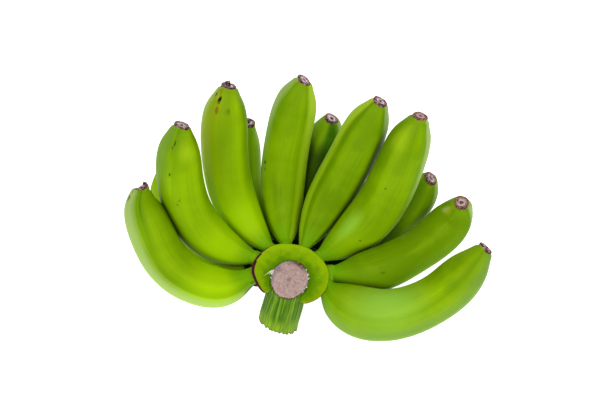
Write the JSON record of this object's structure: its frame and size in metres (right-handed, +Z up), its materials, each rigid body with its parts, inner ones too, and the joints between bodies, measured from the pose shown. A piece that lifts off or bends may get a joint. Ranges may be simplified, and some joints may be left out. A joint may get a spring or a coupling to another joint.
{
  "type": "hand of green bananas",
  "caption": "Cut hand of unripe green bananas, two fanned rows of curved fruit joined at a crown with a cut stalk, lying on its back.",
  "frame": {"origin": "on the surface that the hand lies on, in the middle of its footprint's box", "axes": "+X along the longest side, to the right of the fan; +Y from the stalk towards the fruit's tips; +Z up from the surface"},
  "size_m": [0.2916, 0.2004, 0.1505],
  "materials": {
    "peel": "smooth waxy green banana peel, satin",
    "stalk": "green fibrous crown and stalk, matt, brown where cut",
    "scar": "dry mauve-brown blossom scar at each fruit's tip, matt"
  },
  "bodies": {
    "root": {"crown_and_stalk": "stalk", "upper_banana_1": "peel", "upper_banana_2": "peel", "upper_banana_3": "peel", "upper_banana_4": "peel", "upper_banana_5": "peel", "upper_banana_6": "peel", "upper_banana_7": "peel", "upper_banana_8": "peel", "lower_banana_1": "peel", "lower_banana_2": "peel", "lower_banana_3": "peel", "lower_banana_4": "peel"}
  },
  "joints": []
}
